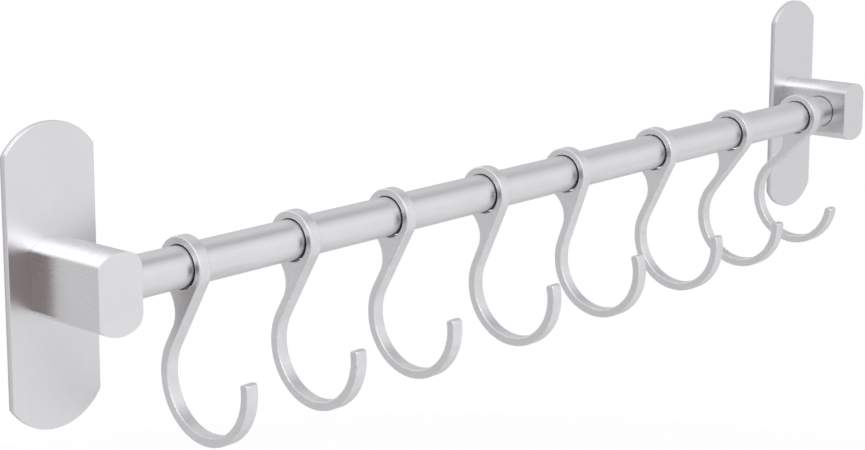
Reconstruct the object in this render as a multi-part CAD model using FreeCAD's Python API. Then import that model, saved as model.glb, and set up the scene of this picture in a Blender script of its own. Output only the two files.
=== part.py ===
import FreeCAD, Part
import math
import os

# Kitchen utensil rail: two stick-on wall brackets, a round rail between them and hooks that swing on it.
# Sizes are in millimetres. X runs along the rail, Y goes into the wall and Z is up. The origin lies on the
# wall plane at the height of the rail, midway between the brackets.

# Rail
RAIL_DIAMETER = 16.0
RAIL_WALL = 1.2
RAIL_STANDOFF = 25.5            # wall plane to rail axis
BRACKET_SPACING = 496.0         # between the two bracket centres

# Wall plate and the foam pad behind it
PLATE_WIDTH = 39.0
PLATE_HEIGHT = 113.0
PLATE_ARCH_RISE = 10.5
PLATE_THICKNESS = 1.5
PAD_THICKNESS = 1.4
PAD_INSET = 0.25

# Block that carries the rail
BLOCK_WIDTH = 19.4
BLOCK_HEIGHT = 30.2
BLOCK_ARCH_RISE = 3.7
BLOCK_NOSE = 15.0               # rail axis to the block's front face
SOCKET_DEPTH = 13.0
SOCKET_CLEARANCE = 0.25         # round the rail
RAIL_END_CLEARANCE = 0.5        # rail end to socket floor

# Countersunk screw that holds each block to its plate
SCREW_DIAMETER = 4.0
SCREW_HEAD_DIAMETER = 6.8
SCREW_HEAD_HEIGHT = 1.4
SCREW_LENGTH = 10.0
SCREW_CLEARANCE = 0.05
SCREW_HOLE_SPARE = 1.0          # drilled depth past the screw's tip

# Grub screw under each block that locks the rail
GRUB_DIAMETER = 4.0
GRUB_LENGTH = 5.0
GRUB_KEY_WIDTH = 2.0
GRUB_KEY_DEPTH = 1.8
GRUB_TIP_GAP = 0.05
GRUB_CLEARANCE = 0.05

# Hook, cut from one profile: ring, web, slanting stem, round bowl and blunt tip
HOOK_WIDTH = 5.6                # along the rail
HOOK_STOCK = 3.7                # thickness of stem and bowl in the profile
RING_CLEARANCE = 0.5            # radial, ring hole to rail
RING_SAG = 0.2                  # the ring hangs this much below the rail's axis
RING_WALL = 3.0
BOWL_RADIUS = 20.0              # inside the bowl
BOWL_REACH = 11.8               # bowl centre in front of the ring centre
BOWL_DROP = 42.0                # bowl centre below the ring centre
WEB_RADIUS = 11.5
TIP_RISE = 8.0                  # degrees that the bowl goes on past the level of its centre
TIP_CORNER_RADIUS = 1.2
HOOK_WALL_GAP = 1.0             # left behind a hook that leans back to the wall

# Where each hook hangs, as a share of the way from one plate to the other
HOOK_SHARES = (0.049, 0.172, 0.291, 0.421, 0.545, 0.693, 0.836, 0.975)
# How far each hook is turned back towards the wall, in degrees; the last one leans as far as it can
HOOK_TURNS = (0.0, 0.0, -1.0, -6.0, -10.0, -3.5, 7.0)

RAIL_RADIUS = RAIL_DIAMETER / 2
PLATE_FRONT = PAD_THICKNESS + PLATE_THICKNESS
BLOCK_FRONT = RAIL_STANDOFF + BLOCK_NOSE
RING_HOLE = RAIL_RADIUS + RING_CLEARANCE
RING_RADIUS = RING_HOLE + RING_WALL
BOWL_OUTSIDE = BOWL_RADIUS + HOOK_STOCK

ORIGIN = FreeCAD.Vector(0, 0, 0)
ALONG_X = FreeCAD.Vector(1, 0, 0)
TO_ROOM = FreeCAD.Vector(0, -1, 0)
UP = FreeCAD.Vector(0, 0, 1)


def polar(centre, radius, angle):
    """Point of a flat outline at an angle round a centre."""
    return (centre[0] + radius * math.cos(angle), centre[1] + radius * math.sin(angle))


def on_wall(point):
    """Place an outline point parallel to the wall."""
    return FreeCAD.Vector(point[0], 0, point[1])


def across_rail(point):
    """Place an outline point square to the rail, with its first value towards the wall."""
    return FreeCAD.Vector(0, point[0], point[1])


def line(place, start, end):
    return Part.LineSegment(place(start), place(end)).toShape()


def arc(place, centre, radius, start, end):
    """Arc round a centre between two angles."""
    angles = (start, (start + end) / 2, end)
    return Part.Arc(*[place(polar(centre, radius, angle)) for angle in angles]).toShape()


def key_hole(across_flats, depth):
    """Hexagon recess that opens at the origin and goes along +Z."""
    corner = across_flats / math.sqrt(3)
    points = [polar((0, 0), corner, math.radians(60 * side)) for side in range(7)]
    wire = Part.makePolygon([FreeCAD.Vector(x, y, 0) for x, y in points])
    return Part.Face(wire).extrude(UP * depth)


# Wall bracket

def arched_face(width, height, rise):
    """Upright face with straight sides and arched ends."""
    half = width / 2
    shoulder = height / 2 - rise
    arch = (half ** 2 + rise ** 2) / (2 * rise)
    meet = math.asin(half / arch)
    side = line(on_wall, (half, -shoulder), (half, shoulder))
    top = arc(on_wall, (0, height / 2 - arch), arch, math.pi / 2 - meet, math.pi / 2 + meet)
    edges = [side, top, side.rotated(ORIGIN, TO_ROOM, 180), top.rotated(ORIGIN, TO_ROOM, 180)]
    return Part.Face(Part.Wire(edges))


def slab(face, back, front):
    """Solid between two distances from the wall."""
    solid = face.extrude(TO_ROOM * (front - back))
    solid.translate(TO_ROOM * back)
    return solid


def screw_place(bracket_x):
    """Point on the plate's back where the block's screw enters."""
    return FreeCAD.Vector(bracket_x, -PAD_THICKNESS, 0)


def adhesive_pad(bracket_x):
    face = arched_face(PLATE_WIDTH - 2 * PAD_INSET, PLATE_HEIGHT - 2 * PAD_INSET, PLATE_ARCH_RISE)
    pad = slab(face, 0, PAD_THICKNESS)
    pad.translate(ALONG_X * bracket_x)
    return pad


def wall_plate(bracket_x):
    face = arched_face(PLATE_WIDTH, PLATE_HEIGHT, PLATE_ARCH_RISE)
    plate = slab(face, PAD_THICKNESS, PLATE_FRONT)
    plate.translate(ALONG_X * bracket_x)
    shank = SCREW_DIAMETER / 2 + SCREW_CLEARANCE
    head = SCREW_HEAD_DIAMETER / 2 + SCREW_CLEARANCE
    place = screw_place(bracket_x)
    plate = plate.cut(Part.makeCylinder(shank, PLATE_THICKNESS, place, TO_ROOM))
    return plate.cut(Part.makeCone(head, shank, SCREW_HEAD_HEIGHT, place, TO_ROOM))


def grub_place(bracket_x, inward):
    """Middle of the grub screw's tip, just under the rail."""
    x = bracket_x + inward * (BLOCK_WIDTH - SOCKET_DEPTH) / 2
    return FreeCAD.Vector(x, -RAIL_STANDOFF, -RAIL_RADIUS - GRUB_TIP_GAP)


def bracket_block(bracket_x, inward):
    """Arched block with a blind socket that opens inward, towards the other bracket."""
    face = arched_face(BLOCK_WIDTH, BLOCK_HEIGHT, BLOCK_ARCH_RISE)
    block = slab(face, PLATE_FRONT, BLOCK_FRONT)
    block.translate(ALONG_X * bracket_x)
    socket = RAIL_RADIUS + SOCKET_CLEARANCE
    mouth = FreeCAD.Vector(bracket_x + inward * BLOCK_WIDTH / 2, -RAIL_STANDOFF, 0)
    into_block = ALONG_X * -inward
    block = block.cut(Part.makeCylinder(socket, SOCKET_DEPTH, mouth, into_block))
    tapped = SCREW_DIAMETER / 2 + SCREW_CLEARANCE
    drilled = SCREW_LENGTH + SCREW_HOLE_SPARE
    block = block.cut(Part.makeCylinder(tapped, drilled, screw_place(bracket_x), TO_ROOM))
    grub_hole = GRUB_DIAMETER / 2 + GRUB_CLEARANCE
    below = Part.makeCylinder(grub_hole, BLOCK_HEIGHT, grub_place(bracket_x, inward), UP * -1)
    return block.cut(below)


def block_screw(place):
    """Countersunk screw that enters at a point on the plate's back and runs out from the wall."""
    shank = SCREW_DIAMETER / 2
    outline = [
        (0, 0),
        (SCREW_HEAD_DIAMETER / 2, 0),
        (shank, SCREW_HEAD_HEIGHT),
        (shank, SCREW_LENGTH),
        (0, SCREW_LENGTH),
        (0, 0),
    ]
    section = Part.Face(Part.makePolygon([on_wall(point) for point in outline]))
    screw = section.revolve(ORIGIN, UP, 360)
    screw.rotate(ORIGIN, ALONG_X, 90)
    screw.translate(place)
    return screw


def grub_screw(tip):
    """Headless screw that stands below its tip, with the key recess at its lower end."""
    screw = Part.makeCylinder(GRUB_DIAMETER / 2, GRUB_LENGTH)
    screw = screw.cut(key_hole(GRUB_KEY_WIDTH, GRUB_KEY_DEPTH))
    screw.translate(tip - UP * GRUB_LENGTH)
    return screw


def rail_tube():
    length = BRACKET_SPACING - BLOCK_WIDTH + 2 * (SOCKET_DEPTH - RAIL_END_CLEARANCE)
    start = FreeCAD.Vector(-length / 2, -RAIL_STANDOFF, 0)
    tube = Part.makeCylinder(RAIL_RADIUS, length, start, ALONG_X)
    return tube.cut(Part.makeCylinder(RAIL_RADIUS - RAIL_WALL, length, start, ALONG_X))


# Hook

def hook_face():
    """Outline of a hook round its ring centre, with the wall on the positive side."""
    ring_centre = (0, 0)
    bowl_centre = (-BOWL_REACH, -BOWL_DROP)
    # The stem's front line touches the ring on the room side and the bowl on the wall side.
    span = math.hypot(BOWL_REACH, BOWL_DROP)
    lean = math.asin((RING_RADIUS + BOWL_RADIUS) / span) - math.atan2(BOWL_REACH, BOWL_DROP)
    # The web's hollow touches the ring and the stem's back line.
    inset = WEB_RADIUS + HOOK_STOCK - RING_RADIUS
    down_stem = math.sqrt((RING_RADIUS + WEB_RADIUS) ** 2 - inset ** 2)
    web_centre = polar(polar(ring_centre, inset, lean), down_stem, lean - math.pi / 2)
    web_side = math.atan2(web_centre[1], web_centre[0])
    room_side = lean + math.pi
    stem_top = polar(ring_centre, RING_RADIUS, room_side)
    # The bowl runs from the stem round below its centre and up to the tip.
    tip = -math.pi - math.radians(TIP_RISE)
    tip_way = tip - math.pi / 2
    tip_inner = polar(bowl_centre, BOWL_RADIUS + TIP_CORNER_RADIUS, tip)
    tip_outer = polar(bowl_centre, BOWL_OUTSIDE - TIP_CORNER_RADIUS, tip)
    edges = [
        arc(across_rail, ring_centre, RING_RADIUS, web_side, room_side),
        line(across_rail, stem_top, polar(bowl_centre, BOWL_RADIUS, lean)),
        arc(across_rail, bowl_centre, BOWL_RADIUS, lean, tip),
        arc(across_rail, tip_inner, TIP_CORNER_RADIUS, tip + math.pi, tip_way + 2 * math.pi),
        line(across_rail, *[polar(corner, TIP_CORNER_RADIUS, tip_way) for corner in (tip_inner, tip_outer)]),
        arc(across_rail, tip_outer, TIP_CORNER_RADIUS, tip_way, tip),
        arc(across_rail, bowl_centre, BOWL_OUTSIDE, tip, lean),
        line(across_rail, polar(bowl_centre, BOWL_OUTSIDE, lean), polar(web_centre, WEB_RADIUS, room_side)),
        arc(across_rail, web_centre, WEB_RADIUS, room_side, web_side + math.pi),
    ]
    return Part.Face(Part.Wire(edges))


def hook_blank():
    """One hook with its ring centre at the origin and its width centred on it."""
    hook = hook_face().extrude(ALONG_X * HOOK_WIDTH)
    hook = hook.cut(Part.makeCylinder(RING_HOLE, HOOK_WIDTH, ORIGIN, ALONG_X))
    hook.translate(ALONG_X * -HOOK_WIDTH / 2)
    return hook


def leaning_turn():
    """Turn, in degrees, at which the back of the bowl comes to the gap left before the wall."""
    span = math.hypot(BOWL_REACH, BOWL_DROP)
    room = RAIL_STANDOFF - HOOK_WALL_GAP - BOWL_OUTSIDE
    return math.degrees(math.asin(room / span) + math.atan2(BOWL_REACH, BOWL_DROP))


def hooks():
    blank = hook_blank()
    way = BRACKET_SPACING - PLATE_WIDTH
    made = []
    for share, turn in zip(HOOK_SHARES, HOOK_TURNS + (leaning_turn(),)):
        hook = blank.rotated(ORIGIN, ALONG_X, turn)
        hook.translate(FreeCAD.Vector((share - 0.5) * way, -RAIL_STANDOFF, -RING_SAG))
        made.append(hook)
    return made


def build():
    nodes = {"rail_tube": rail_tube()}
    for side, outward in (("left", -1), ("right", 1)):
        bracket_x = outward * BRACKET_SPACING / 2
        nodes[side + "_adhesive_pad"] = adhesive_pad(bracket_x)
        nodes[side + "_wall_plate"] = wall_plate(bracket_x)
        nodes[side + "_bracket_block"] = bracket_block(bracket_x, -outward)
        nodes[side + "_block_screw"] = block_screw(screw_place(bracket_x))
        nodes[side + "_rail_grub_screw"] = grub_screw(grub_place(bracket_x, -outward))
    for number, hook in enumerate(hooks(), 1):
        nodes["hook_%d" % number] = hook
    return nodes


os.makedirs("parts", exist_ok=True)
for name, shape in build().items():
    shape.exportStep("parts/" + name + ".step")
    print(name, len(shape.Solids), round(shape.Volume, 2), shape.isValid())
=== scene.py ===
import bpy
import bmesh
import math
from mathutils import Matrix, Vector


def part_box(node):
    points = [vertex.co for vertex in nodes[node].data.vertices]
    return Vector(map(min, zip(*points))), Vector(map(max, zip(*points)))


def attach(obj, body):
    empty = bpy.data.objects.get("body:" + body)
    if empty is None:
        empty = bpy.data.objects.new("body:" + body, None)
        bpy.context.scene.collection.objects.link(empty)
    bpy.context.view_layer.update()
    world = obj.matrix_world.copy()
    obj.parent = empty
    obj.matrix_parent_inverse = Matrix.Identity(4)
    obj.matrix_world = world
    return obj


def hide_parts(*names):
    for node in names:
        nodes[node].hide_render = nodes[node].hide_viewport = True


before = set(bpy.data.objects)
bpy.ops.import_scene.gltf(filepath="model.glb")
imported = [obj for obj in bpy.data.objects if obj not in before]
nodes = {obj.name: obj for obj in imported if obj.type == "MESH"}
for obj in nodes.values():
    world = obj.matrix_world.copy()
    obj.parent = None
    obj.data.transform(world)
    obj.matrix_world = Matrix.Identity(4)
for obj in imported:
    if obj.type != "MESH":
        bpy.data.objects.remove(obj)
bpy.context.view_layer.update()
scene = bpy.context.scene

# Sizes of the hooks in metres, as in the part
MM = 0.001
RAIL_AXIS_Y = -25.5 * MM
RING_SAG = 0.2 * MM
RING_HOLE = 8.5 * MM
RING_RADIUS = 11.5 * MM
HOOK_WIDTH = 5.6 * MM
HOOK_STOCK = 3.7 * MM
BOWL_RADIUS = 20.0 * MM
BOWL_CENTRE = (-11.8 * MM, -42.0 * MM)
WEB_RADIUS = 11.5 * MM
TIP_RISE = math.radians(8.0)
TIP_CORNER = 1.2 * MM
# Where each hook hangs along the rail in millimetres, and how many degrees it is turned back towards the wall
HOOKS = ((-206.107, 0), (-149.896, 0), (-95.513, -1), (-36.103, -6),
         (20.565, -10), (88.201, -3.5), (153.552, 7), (217.075, 16.744))

# Rounding, and the steps that it is made in
HOOK_EDGE, HOOK_EDGE_STEPS = 0.55 * MM, 3
PLATE_EDGE, PLATE_EDGE_STEPS = 0.35 * MM, 2
BLOCK_EDGE, BLOCK_EDGE_STEPS = 0.15 * MM, 2
# Both blocks show rounder corners on their right-hand side
BLOCK_LEFT_CORNER = 1.0 * MM
BLOCK_RIGHT_CORNER = 2.8 * MM
BLOCK_CORNER_STEPS = 8
ARC_STEP = math.radians(3.0)
LEAST_ARC_STEPS = 4

# Tolerances
SHARP_ANGLE = math.radians(40)
FLAT_ANGLE = math.radians(0.5)
SAME_POINT = 2e-6
SAME_PLANE = 1e-5
SAME_SIDE = 0.1 * MM
BORE_SLACK = 0.1 * HOOK_EDGE
# Share of a block's depth past which a line counts as running through the whole of it
WHOLE_DEPTH = 0.9
# How far a face of a hook looks along the rail: less on its rims, more on its sides, between on its edges
ACROSS_RAIL, ALONG_RAIL = 0.1, 0.97

# Satin grain: range of each noise that becomes its contrast, and the share of each in the tone
GRAIN_RANGE = (0.3, 0.7)
CLOUD_RANGE = (0.35, 0.65)
GRAIN_SHARE = 0.5
CLOUD_SHARE = 0.5
# Painted highlight: bright glints on the hooks' edges, to the metre
GLINT_FINENESS = 700.0
GLINT_RANGE = (0.56, 0.72)
PAINTED_GLINT_COLOUR = (0.95, 0.95, 0.95)
# Painted shade: near-black wall of a hook's ring, standing in for the shadow in the gap round the rail, and how much
# duller a hook's edges are than its sides
BORE_SHADE_COLOUR = (0.10, 0.10, 0.10)
EDGE_DULLNESS = 0.18
# Foam of the pads: cells to the metre, their depth and how much of it shows
FOAM_FINENESS = 2200.0
FOAM_CELL_DEPTH = 0.1 * MM
FOAM_CELL_STRENGTH = 0.5
FOAM_DEEP = (0.50, 0.50, 0.51)
FOAM_PALE = (0.66, 0.66, 0.67)
FOAM_ROUGHNESS = 0.85

# Studio round the rail. Each place has a direction, the angle inside which it is whole, the angle outside which
# it is gone, and its colour.
WHITE = (1, 1, 1)
STUDIO_COLOUR = (0.72, 0.72, 0.73)
FRONT_AND_RIGHT = (
    ((0.58, -0.79, 0.02), 16, 44, (0.90, 0.90, 0.91)),
    ((0.99, -0.05, -0.10), 12, 37, (0.64, 0.64, 0.65)),
    ((0.78, 0.60, -0.12), 10, 36, (0.60, 0.60, 0.61)),
    ((0.62, -0.12, 0.775), 4, 18, (0.46, 0.46, 0.48)),
    ((0.78, 0.15, 0.61), 4, 14, (0.62, 0.62, 0.64)),
    ((0.85, 0.42, 0.33), 4, 12, (0.58, 0.58, 0.60)),
)
DARK_SIDE = ((-0.66, -0.70, -0.27), 18, 30, (0.08, 0.01, 0.0))
LEFT_OF_WALL = (
    ((-0.75, 0.62, -0.24), 18, 50, (0.67, 0.67, 0.68)),
    ((-0.80, 0.57, -0.20), 5, 17, (0.56, 0.56, 0.57)),
)
WINDOWS = (
    ((-0.20, 0.77, 0.60), 16, 32, (1.20, 1.20, 1.20)),
    ((-0.38, -0.76, 0.52), 10, 24, (1.60, 1.60, 1.60)),
    ((-0.08, -0.72, 0.69), 20, 32, (2.10, 2.10, 2.10)),
)

# Floor in metres; in reflections it gets lighter from the back to the front
FLOOR_RADIUS, FLOOR_SEGMENTS = 1.0, 64
FLOOR_HEIGHT = -0.45
FLOOR_COLOUR = (0.65, 0.65, 0.65)
FLOOR_WHITENESS = 0.97
FLOOR_BACK_Y, FLOOR_FRONT_Y = 0.25, -0.45
FLOOR_FRONT_WHITENESS = 0.72

# Camera fitted to the photograph's outlines
PHOTO_WIDTH = 865
LENS_PIXELS = 1948.6
SHIFT_PIXELS = -117
SENSOR_MM = 36.0
CAMERA_YAW = math.radians(48.084)
CAMERA_PITCH = math.radians(-9.734)
CAMERA_PLACE = Vector((-661.1, -555.7, 177.2)) * MM
CAMERA_NEAREST = 0.01


# Node trees

def feed(tree, socket, value):
    """Link a socket to another one, or set it to a plain value."""
    if isinstance(value, bpy.types.NodeSocket):
        tree.links.new(value, socket)
    else:
        socket.default_value = value


def feed_by_name(tree, node, values):
    for name, value in values.items():
        feed(tree, node.inputs[name.replace("_", " ").title()], value)
    return node


def add_node(tree, kind, **values):
    """New node with its inputs fed by name."""
    return feed_by_name(tree, tree.nodes.new(kind), values)


def add_group(tree, group, **values):
    """Outputs of a shader group, placed with its inputs fed by name."""
    node = tree.nodes.new("ShaderNodeGroup")
    node.node_tree = group
    return feed_by_name(tree, node, values).outputs


def maths(tree, operation, *values):
    """Result of a sum, with its inputs fed in order."""
    node = tree.nodes.new("ShaderNodeMath")
    node.operation = operation
    for socket, value in zip(node.inputs, values):
        feed(tree, socket, value)
    return node.outputs[0]


def blend_colours(tree, share, below, above):
    """Mix two colours by a share; each is a socket or a plain colour."""
    mix = tree.nodes.new("ShaderNodeMix")
    mix.data_type = "RGBA"
    tree.links.new(share, mix.inputs["Factor"])
    for name, colour in (("A", below), ("B", above)):
        feed(tree, mix.inputs[name], colour if isinstance(colour, bpy.types.NodeSocket) else (*colour, 1))
    return mix.outputs["Result"]


def mix_shaders(tree, share, below, above):
    mix = tree.nodes.new("ShaderNodeMixShader")
    for socket, value in zip(mix.inputs, (share, below, above)):
        tree.links.new(value, socket)
    return mix.outputs[0]


def new_tree(kind, name, inputs, outputs):
    """Empty node group, with its inputs to read and its outputs to feed."""
    tree = bpy.data.node_groups.new(name, kind)
    for way, sockets in (("INPUT", inputs), ("OUTPUT", outputs)):
        for socket, holds in sockets.items():
            tree.interface.new_socket(socket, in_out=way, socket_type="NodeSocket" + holds)
    return tree, tree.nodes.new("NodeGroupInput").outputs, tree.nodes.new("NodeGroupOutput").inputs


# Flat outline of a hook

def polar(centre, radius, angle):
    return (centre[0] + radius * math.cos(angle), centre[1] + radius * math.sin(angle))


def arc(centre, radius, start, end):
    """Points along an arc, without its last one."""
    count = max(LEAST_ARC_STEPS, round(abs(end - start) / ARC_STEP))
    return [polar(centre, radius, start + (end - start) * i / count) for i in range(count)]


def hook_outline():
    """Closed outline round the ring centre, and two cuts out of the ring's hole: place in the outline, angle.

    Towards the wall is positive, then up.
    """
    reach, drop = -BOWL_CENTRE[0], -BOWL_CENTRE[1]
    lean = math.asin((RING_RADIUS + BOWL_RADIUS) / math.hypot(reach, drop)) - math.atan2(reach, drop)
    inset = WEB_RADIUS + HOOK_STOCK - RING_RADIUS
    down_stem = math.sqrt((RING_RADIUS + WEB_RADIUS) ** 2 - inset ** 2)
    web_centre = polar(polar((0, 0), inset, lean), down_stem, lean - math.pi / 2)
    web_side = math.atan2(web_centre[1], web_centre[0])
    room_side = lean + math.pi
    outside = BOWL_RADIUS + HOOK_STOCK
    tip = -math.pi - TIP_RISE
    tip_way = tip - math.pi / 2
    tip_inner = polar(BOWL_CENTRE, BOWL_RADIUS + TIP_CORNER, tip)
    tip_outer = polar(BOWL_CENTRE, outside - TIP_CORNER, tip)
    points = arc((0, 0), RING_RADIUS, web_side, room_side)
    quarters = [len(points) * share // 4 for share in (1, 3)]
    cuts = [(place, web_side + (room_side - web_side) * place / len(points)) for place in quarters]
    points += [polar((0, 0), RING_RADIUS, room_side)]
    points += arc(BOWL_CENTRE, BOWL_RADIUS, lean, tip)
    points += arc(tip_inner, TIP_CORNER, tip + math.pi, tip_way + 2 * math.pi)
    points += [polar(tip_inner, TIP_CORNER, tip_way)]
    points += arc(tip_outer, TIP_CORNER, tip_way, tip)
    points += arc(BOWL_CENTRE, outside, tip, lean)
    points += [polar(BOWL_CENTRE, outside, lean)]
    points += arc(web_centre, WEB_RADIUS, room_side, web_side + math.pi)
    return points, cuts


def flat_hook(name):
    """Hook's flat side in its own XY plane, as two faces that meet on the cuts through its ring."""
    outline, ((first, start), (second, end)) = hook_outline()
    over = arc((0, 0), RING_HOLE, start, end)
    under = arc((0, 0), RING_HOLE, end, start + 2 * math.pi)
    count = len(outline)
    at_end = count + len(over)
    over_back = [at_end] + list(range(at_end - 1, count - 1, -1))
    under_back = [count] + list(range(at_end + len(under) - 1, at_end - 1, -1))
    faces = [list(range(first, second + 1)) + over_back,
             list(range(second, count)) + list(range(first + 1)) + under_back]
    mesh = bpy.data.meshes.new(name)
    mesh.from_pydata([(x, y, 0.0) for x, y in outline + over + under], [], faces)
    return mesh


# Hooks

def cutting_tree():
    """Geometry nodes that give a flat side its width, turn it about the rail and hang it in its place."""
    tree, given, made = new_tree(
        "GeometryNodeTree", "slice_of_profile",
        {"Geometry": "Geometry", "Width": "Float", "Turn": "Float", "Place": "Vector", "Finish": "Material"},
        {"Geometry": "Geometry"})
    raised = add_node(tree, "GeometryNodeExtrudeMesh", mesh=given["Geometry"], offset=(0, 0, 1),
                      offset_scale=given["Width"], individual=False)
    under = add_node(tree, "GeometryNodeFlipFaces", mesh=given["Geometry"])
    both = tree.nodes.new("GeometryNodeJoinGeometry")
    tree.links.new(raised.outputs[0], both.inputs[0])
    tree.links.new(under.outputs[0], both.inputs[0])
    closed = add_node(tree, "GeometryNodeMergeByDistance", geometry=both.outputs[0], distance=SAME_POINT)
    middle = add_node(tree, "ShaderNodeCombineXYZ", x=maths(tree, "MULTIPLY", given["Width"], -0.5))
    square = add_node(tree, "GeometryNodeTransform", geometry=closed.outputs[0], translation=middle.outputs[0],
                      rotation=(math.pi / 2, 0, math.pi / 2))
    swing = add_node(tree, "ShaderNodeCombineXYZ", x=given["Turn"])
    hung = add_node(tree, "GeometryNodeTransform", geometry=square.outputs[0], translation=given["Place"],
                    rotation=swing.outputs[0])
    smooth = add_node(tree, "GeometryNodeSetShadeSmooth", geometry=hung.outputs[0])
    real = add_node(tree, "GeometryNodeRealizeInstances", geometry=smooth.outputs[0])
    finished = add_node(tree, "GeometryNodeSetMaterial", geometry=real.outputs[0], material=given["Finish"])
    tree.links.new(finished.outputs[0], made[0])
    return tree


def round_edges(obj, width, steps, by_weight=False):
    """Round the sharp edges, or those that joined_copy gave a weight."""
    bevel = obj.modifiers.new("rounded_edges", "BEVEL")
    bevel.width = width
    bevel.segments = steps
    bevel.limit_method = "WEIGHT" if by_weight else "ANGLE"
    bevel.angle_limit = SHARP_ANGLE
    bevel.use_clamp_overlap = False
    bevel.miter_outer = "MITER_ARC"
    bevel.loop_slide = False
    even = obj.modifiers.new("even_normals", "WEIGHTED_NORMAL")
    even.keep_sharp = True


def finished_mesh(obj, name):
    """The object's evaluated mesh on a plain object at the origin; the worked object goes."""
    bpy.context.view_layer.update()
    ready = obj.evaluated_get(bpy.context.evaluated_depsgraph_get())
    mesh = bpy.data.meshes.new_from_object(ready)
    mesh.name = name
    bpy.data.objects.remove(obj)
    piece = bpy.data.objects.new(name, mesh)
    scene.collection.objects.link(piece)
    return piece


def mark_faces(mesh, axis_y, axis_z):
    """Face attributes: edge_band on the narrow rounded edges, where the painted glints go, and one on the wall of
    the ring's hole, where the painted shade goes.
    """
    along = [abs(face.normal.x) for face in mesh.polygons]
    out = [math.hypot(face.center.y - axis_y, face.center.z - axis_z) for face in mesh.polygons]
    band = mesh.attributes.new("edge_band", "FLOAT", "FACE")
    band.data.foreach_set("value", [float(ACROSS_RAIL < share < ALONG_RAIL) for share in along])
    bore = mesh.attributes.new("ring_bore_shade", "FLOAT", "FACE")
    wall = RING_HOLE + BORE_SLACK
    bore.data.foreach_set("value", [float(far < wall and share < ACROSS_RAIL) for far, share in zip(out, along)])


def hang_hooks(finish):
    """One rounded hook for each body, cut from the same profile."""
    tree = cutting_tree()
    inputs = {item.name: item.identifier for item in tree.interface.items_tree if item.in_out == "INPUT"}
    for number, (along, turn) in enumerate(HOOKS, 1):
        body = "hook_%d" % number
        blank = bpy.data.objects.new(body + "_blank", flat_hook(body + "_side"))
        scene.collection.objects.link(blank)
        cut = blank.modifiers.new("cut", "NODES")
        cut.node_group = tree
        cut[inputs["Width"]] = HOOK_WIDTH
        cut[inputs["Turn"]] = math.radians(turn)
        cut[inputs["Place"]] = (along * MM, RAIL_AXIS_Y, -RING_SAG)
        cut[inputs["Finish"]] = finish
        round_edges(blank, HOOK_EDGE, HOOK_EDGE_STEPS)
        hook = finished_mesh(blank, body + "_rounded")
        mark_faces(hook.data, RAIL_AXIS_Y, -RING_SAG)
        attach(hook, body)
        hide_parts(body)


# Rail and brackets

def joined_copy(node, weigh=None, shape=None):
    """Copy of a node with its triangles joined into whole faces.

    shape works on the joined faces, and weigh then gives each sharp edge's share of the rounding.
    """
    mesh = nodes[node].data.copy()
    work = bmesh.new()
    work.from_mesh(mesh)
    bmesh.ops.remove_doubles(work, verts=work.verts, dist=SAME_POINT)
    bmesh.ops.dissolve_limit(work, angle_limit=FLAT_ANGLE, verts=work.verts, edges=work.edges)
    if shape:
        shape(work)
    if weigh:
        layer = work.edges.layers.float.new("bevel_weight_edge")
        for edge in work.edges:
            if edge.is_manifold and edge.calc_face_angle() > SHARP_ANGLE:
                edge[layer] = weigh(*[vert.co for vert in edge.verts])
                edge.smooth = edge[layer] > 0
    work.to_mesh(mesh)
    work.free()
    old_normals = mesh.attributes.get("custom_normal")
    if old_normals is not None:
        mesh.attributes.remove(old_normals)
    mesh.shade_smooth()
    obj = bpy.data.objects.new(node + "_work", mesh)
    scene.collection.objects.link(obj)
    return obj


def stand_for(obj, node, finish):
    """Finish a worked copy and let it stand for its node."""
    piece = finished_mesh(obj, node + "_rounded")
    piece.data.materials.clear()
    piece.data.materials.append(finish)
    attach(piece, "rail_and_brackets")
    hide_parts(node)


def fit_rail(finish):
    rail = joined_copy("rail_tube")
    rail.data.set_sharp_from_angle(angle=SHARP_ANGLE)
    stand_for(rail, "rail_tube", finish)


def fit_plate(node, finish):
    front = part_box(node)[0].y

    def rim(a, b):
        """Only the front edge is rounded."""
        return 1.0 if max(a.y, b.y) < front + SAME_PLANE else 0.0

    plate = joined_copy(node, rim)
    round_edges(plate, PLATE_EDGE, PLATE_EDGE_STEPS, by_weight=True)
    stand_for(plate, node, finish)


def fit_block(node, finish):
    low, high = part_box(node)

    def inset_lines(work, side, least, most):
        """Edges that run the whole depth of the block, between two distances in from one of its sides."""
        depth = WHOLE_DEPTH * (high.y - low.y)
        return [edge for edge in work.edges if abs(edge.verts[0].co.y - edge.verts[1].co.y) > depth
                and all(least <= abs(vert.co.x - side) < most for vert in edge.verts)]

    def round_corners(work):
        """Round the corners between arch and side, after the arch's own lines are out of the way."""
        for side, corner in ((low.x, BLOCK_LEFT_CORNER), (high.x, BLOCK_RIGHT_CORNER)):
            in_way = inset_lines(work, side, SAME_SIDE, corner)
            bmesh.ops.dissolve_edges(work, edges=in_way, use_verts=True)
            corners = inset_lines(work, side, 0.0, SAME_SIDE)
            bmesh.ops.bevel(work, geom=corners, offset=corner, offset_type="OFFSET", segments=BLOCK_CORNER_STEPS,
                            profile=0.5, affect="EDGES", clamp_overlap=False, loop_slide=False)

    def rim(a, b):
        """Only the front and back edges are rounded."""
        in_front = max(a.y, b.y) < low.y + SAME_PLANE
        behind = min(a.y, b.y) > high.y - SAME_PLANE
        return 1.0 if in_front or behind else 0.0

    block = joined_copy(node, rim, round_corners)
    round_edges(block, BLOCK_EDGE, BLOCK_EDGE_STEPS, by_weight=True)
    stand_for(block, node, finish)


# Finishes

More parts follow.
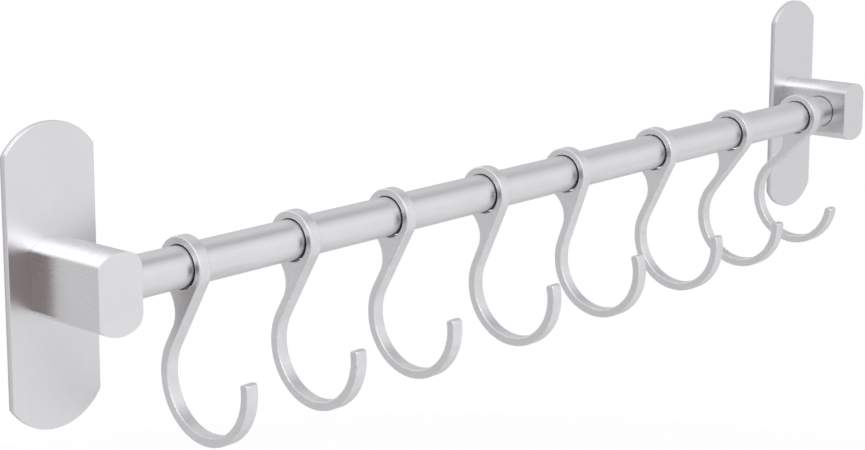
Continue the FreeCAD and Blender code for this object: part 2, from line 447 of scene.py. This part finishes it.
def grain_group():
    """Fine marks of a satin finish, drawn out along the way it was worked, and broad soft clouds."""
    tree, given, made = new_tree(
        "ShaderNodeTree", "satin_grain",
        {"Vector": "Vector", "Stretch": "Vector", "Fineness": "Float", "Breadth": "Float"},
        {"Grain": "Float", "Cloud": "Float"})
    drawn = tree.nodes.new("ShaderNodeVectorMath")
    drawn.operation = "MULTIPLY"
    tree.links.new(given["Vector"], drawn.inputs[0])
    tree.links.new(given["Stretch"], drawn.inputs[1])
    fine = add_node(tree, "ShaderNodeTexNoise", vector=drawn.outputs[0], scale=given["Fineness"], detail=3.0)
    spread = add_node(tree, "ShaderNodeMapRange", value=fine.outputs[0], from_min=GRAIN_RANGE[0],
                      from_max=GRAIN_RANGE[1])
    tree.links.new(spread.outputs[0], made["Grain"])
    broad = add_node(tree, "ShaderNodeTexNoise", vector=given["Vector"], scale=given["Breadth"], detail=2.0)
    soft = add_node(tree, "ShaderNodeMapRange", value=broad.outputs[0], from_min=CLOUD_RANGE[0],
                    from_max=CLOUD_RANGE[1])
    tree.links.new(soft.outputs[0], made["Cloud"])
    return tree


def glint_group():
    """Painted highlights: small bright glints along the edges, where their sparkle would be."""
    tree, given, made = new_tree("ShaderNodeTree", "painted_edge_glints",
                                 {"Vector": "Vector", "Edge": "Float", "Fineness": "Float"}, {"Glints": "Float"})
    spots = add_node(tree, "ShaderNodeTexNoise", vector=given["Vector"], scale=given["Fineness"], detail=2.0)
    glint_share = add_node(tree, "ShaderNodeMapRange", value=spots.outputs[0], from_min=GLINT_RANGE[0],
                    from_max=GLINT_RANGE[1])
    tree.links.new(maths(tree, "MULTIPLY", glint_share.outputs[0], given["Edge"]), made["Glints"])
    return tree


def new_finish(name):
    """New material: itself, its tree, its shader and the place on the object."""
    material = bpy.data.materials.new(name)
    material.use_nodes = True
    tree = material.node_tree
    return material, tree, tree.nodes["Principled BSDF"], tree.nodes.new("ShaderNodeTexCoord").outputs["Object"]


def add_relief(tree, shader, height, depth, strength=1.0):
    relief = add_node(tree, "ShaderNodeBump", height=height, distance=depth, strength=strength)
    tree.links.new(relief.outputs[0], shader.inputs["Normal"])


def face_mark(tree, name):
    """Value of a face attribute that mark_faces wrote."""
    mark = tree.nodes.new("ShaderNodeAttribute")
    mark.attribute_name = name
    return mark.outputs["Fac"]


def satin(name, pale, deep, stretch, fineness, breadth, rough, depth, edge_glints_and_bore_shade=False):
    """Satin metal: colour, roughness and fine relief follow the grain of its finish.

    rough holds the roughness of its pale and of its deep marks. With the flag set, the edges get painted highlights
    as bright glints and are duller, and the ring bores get painted shade.
    """
    material, tree, shader, place = new_finish(name)
    shader.inputs["Metallic"].default_value = 1.0
    marks = add_group(tree, grain, vector=place, stretch=stretch, fineness=fineness, breadth=breadth)
    part_grain = maths(tree, "MULTIPLY", marks["Grain"], GRAIN_SHARE)
    share = maths(tree, "MULTIPLY_ADD", marks["Cloud"], CLOUD_SHARE, part_grain)
    share.node.use_clamp = True
    tone = blend_colours(tree, share, deep, pale)
    matt = add_node(tree, "ShaderNodeMapRange", value=share, to_min=rough[1], to_max=rough[0]).outputs[0]
    if edge_glints_and_bore_shade:
        edge = face_mark(tree, "edge_band")
        glinting = add_group(tree, glints, vector=place, edge=edge, fineness=GLINT_FINENESS)
        # Painted highlight: near-white glints on the edge bands
        tone = blend_colours(tree, glinting["Glints"], tone, PAINTED_GLINT_COLOUR)
        # Painted shade: the wall of the ring's hole made near-black
        tone = blend_colours(tree, face_mark(tree, "ring_bore_shade"), tone, BORE_SHADE_COLOUR)
        matt = maths(tree, "MULTIPLY_ADD", edge, EDGE_DULLNESS, matt)
    tree.links.new(tone, shader.inputs["Base Color"])
    tree.links.new(matt, shader.inputs["Roughness"])
    add_relief(tree, shader, marks["Grain"], depth)
    return material


def foam(name):
    """Closed-cell foam of the pads: pale grey, with small cells."""
    material, tree, shader, place = new_finish(name)
    shader.inputs["Roughness"].default_value = FOAM_ROUGHNESS
    cells = add_node(tree, "ShaderNodeTexVoronoi", vector=place, scale=FOAM_FINENESS).outputs["Distance"]
    tone = tree.nodes.new("ShaderNodeValToRGB")
    tone.color_ramp.elements[0].color = (*FOAM_DEEP, 1)
    tone.color_ramp.elements[1].color = (*FOAM_PALE, 1)
    tree.links.new(cells, tone.inputs[0])
    tree.links.new(tone.outputs[0], shader.inputs["Base Color"])
    add_relief(tree, shader, cells, FOAM_CELL_DEPTH, FOAM_CELL_STRENGTH)
    return material


# Light, floor and camera

def light_world():
    """Pale studio: windows above in front and above the wall, dimmer places on both sides, white to look at.

    The dark side, behind the viewer, shows only in second reflections, such as those between a plate and its block.
    """
    world = bpy.data.worlds.new("studio")
    scene.world = world
    world.use_nodes = True
    tree = world.node_tree
    tree.nodes.clear()
    way = tree.nodes.new("ShaderNodeTexCoord").outputs["Generated"]
    seen = tree.nodes.new("ShaderNodeLightPath").outputs
    second = maths(tree, "GREATER_THAN", seen["Glossy Depth"], 1.5)

    def patch(below, direction, inner, outer, colour, most=1.0):
        """Blend a colour in round a direction, at most by the share given."""
        near = tree.nodes.new("ShaderNodeVectorMath")
        near.operation = "DOT_PRODUCT"
        tree.links.new(way, near.inputs[0])
        near.inputs[1].default_value = Vector(direction).normalized()
        edge = add_node(tree, "ShaderNodeMapRange", value=near.outputs["Value"], to_max=most,
                        from_min=math.cos(math.radians(outer)), from_max=math.cos(math.radians(inner)))
        edge.interpolation_type = "SMOOTHSTEP"
        return blend_colours(tree, edge.outputs[0], below, colour)

    tone = STUDIO_COLOUR
    for place in FRONT_AND_RIGHT:
        tone = patch(tone, *place)
    tone = patch(tone, *DARK_SIDE, most=second)
    for place in LEFT_OF_WALL + WINDOWS:
        tone = patch(tone, *place)
    light = add_node(tree, "ShaderNodeBackground", color=tone).outputs[0]
    white = add_node(tree, "ShaderNodeBackground", color=(*WHITE, 1)).outputs[0]
    shown = mix_shaders(tree, seen["Is Camera Ray"], light, white)
    tree.links.new(shown, tree.nodes.new("ShaderNodeOutputWorld").inputs[0])


def floor_finish():
    """White to look at, matt grey under the light, and clear from below so that it doesn't hide the rail."""
    material, tree, shader, place = new_finish("floor_white")
    tree.nodes.remove(shader)
    matt = add_node(tree, "ShaderNodeBsdfDiffuse", color=(*FLOOR_COLOUR, 1)).outputs[0]
    white = add_node(tree, "ShaderNodeEmission", color=(*WHITE, 1)).outputs[0]
    clear = tree.nodes.new("ShaderNodeBsdfTransparent").outputs[0]
    seen = tree.nodes.new("ShaderNodeLightPath").outputs
    depth = add_node(tree, "ShaderNodeSeparateXYZ", vector=place).outputs["Y"]
    swept = add_node(tree, "ShaderNodeMapRange", value=depth, from_min=FLOOR_BACK_Y, from_max=FLOOR_FRONT_Y,
                     to_max=FLOOR_FRONT_WHITENESS).outputs[0]
    mirrored = maths(tree, "MULTIPLY", seen["Is Glossy Ray"], swept)
    whiteness = maths(tree, "MULTIPLY_ADD", seen["Is Camera Ray"], FLOOR_WHITENESS, mirrored)
    from_above = mix_shaders(tree, whiteness, matt, white)
    behind = tree.nodes.new("ShaderNodeNewGeometry").outputs["Backfacing"]
    tree.links.new(mix_shaders(tree, behind, from_above, clear), tree.nodes["Material Output"].inputs["Surface"])
    return material


def lay_floor():
    """Wide round floor well below the rail, facing up."""
    mesh = bpy.data.meshes.new("floor")
    work = bmesh.new()
    bmesh.ops.create_circle(work, cap_ends=True, segments=FLOOR_SEGMENTS, radius=FLOOR_RADIUS)
    bmesh.ops.translate(work, verts=work.verts, vec=(0, 0, FLOOR_HEIGHT))
    work.normal_update()
    bmesh.ops.reverse_faces(work, faces=[face for face in work.faces if face.normal.z < 0])
    work.to_mesh(mesh)
    work.free()
    floor = bpy.data.objects.new("floor", mesh)
    scene.collection.objects.link(floor)
    mesh.materials.append(floor_finish())


def set_camera():
    """Photograph's view: from the left, a little above, with a long lens."""
    data = bpy.data.cameras.new("camera")
    data.sensor_width = SENSOR_MM
    data.lens = LENS_PIXELS / PHOTO_WIDTH * SENSOR_MM
    data.shift_y = SHIFT_PIXELS / PHOTO_WIDTH
    data.clip_start = CAMERA_NEAREST
    camera = bpy.data.objects.new("camera", data)
    scene.collection.objects.link(camera)
    level = math.cos(CAMERA_PITCH)
    way = Vector((math.sin(CAMERA_YAW) * level, math.cos(CAMERA_YAW) * level, math.sin(CAMERA_PITCH)))
    camera.location = CAMERA_PLACE
    camera.rotation_euler = way.to_track_quat("-Z", "Y").to_euler()
    scene.camera = camera


grain = grain_group()
glints = glint_group()
rail_satin = satin("rail_satin", pale=(0.83, 0.83, 0.845), deep=(0.79, 0.79, 0.805), stretch=(0.04, 1, 1),
                   fineness=3000.0, breadth=55.0, rough=(0.27, 0.32), depth=1.5e-6)
plate_satin = satin("plate_satin", pale=(0.81, 0.805, 0.825), deep=(0.78, 0.775, 0.795), stretch=(1, 1, 0.05),
                    fineness=3000.0, breadth=55.0, rough=(0.33, 0.37), depth=1.5e-6)
block_satin = satin("block_satin", pale=(0.825, 0.825, 0.835), deep=(0.795, 0.795, 0.805), stretch=(1, 0.05, 1),
                    fineness=3000.0, breadth=55.0, rough=(0.26, 0.29), depth=0.4e-6)
hook_satin = satin("hook_satin", pale=(0.85, 0.85, 0.865), deep=(0.785, 0.785, 0.80), stretch=(1, 1, 1),
                   fineness=1500.0, breadth=300.0, rough=(0.28, 0.40), depth=1.8e-5, edge_glints_and_bore_shade=True)
screw_steel = satin("screw_steel", pale=(0.58, 0.58, 0.59), deep=(0.50, 0.50, 0.51), stretch=(1, 1, 1),
                    fineness=2500.0, breadth=300.0, rough=(0.28, 0.38), depth=5e-6)
pad_foam = foam("pad_foam")

hang_hooks(hook_satin)
fit_rail(rail_satin)
for side in ("left", "right"):
    fit_plate(side + "_wall_plate", plate_satin)
    fit_block(side + "_bracket_block", block_satin)
    nodes[side + "_adhesive_pad"].material_slots[0].material = pad_foam
    nodes[side + "_block_screw"].material_slots[0].material = screw_steel
    nodes[side + "_rail_grub_screw"].material_slots[0].material = screw_steel

light_world()
lay_floor()
set_camera()
scene.view_settings.view_transform = "Standard"
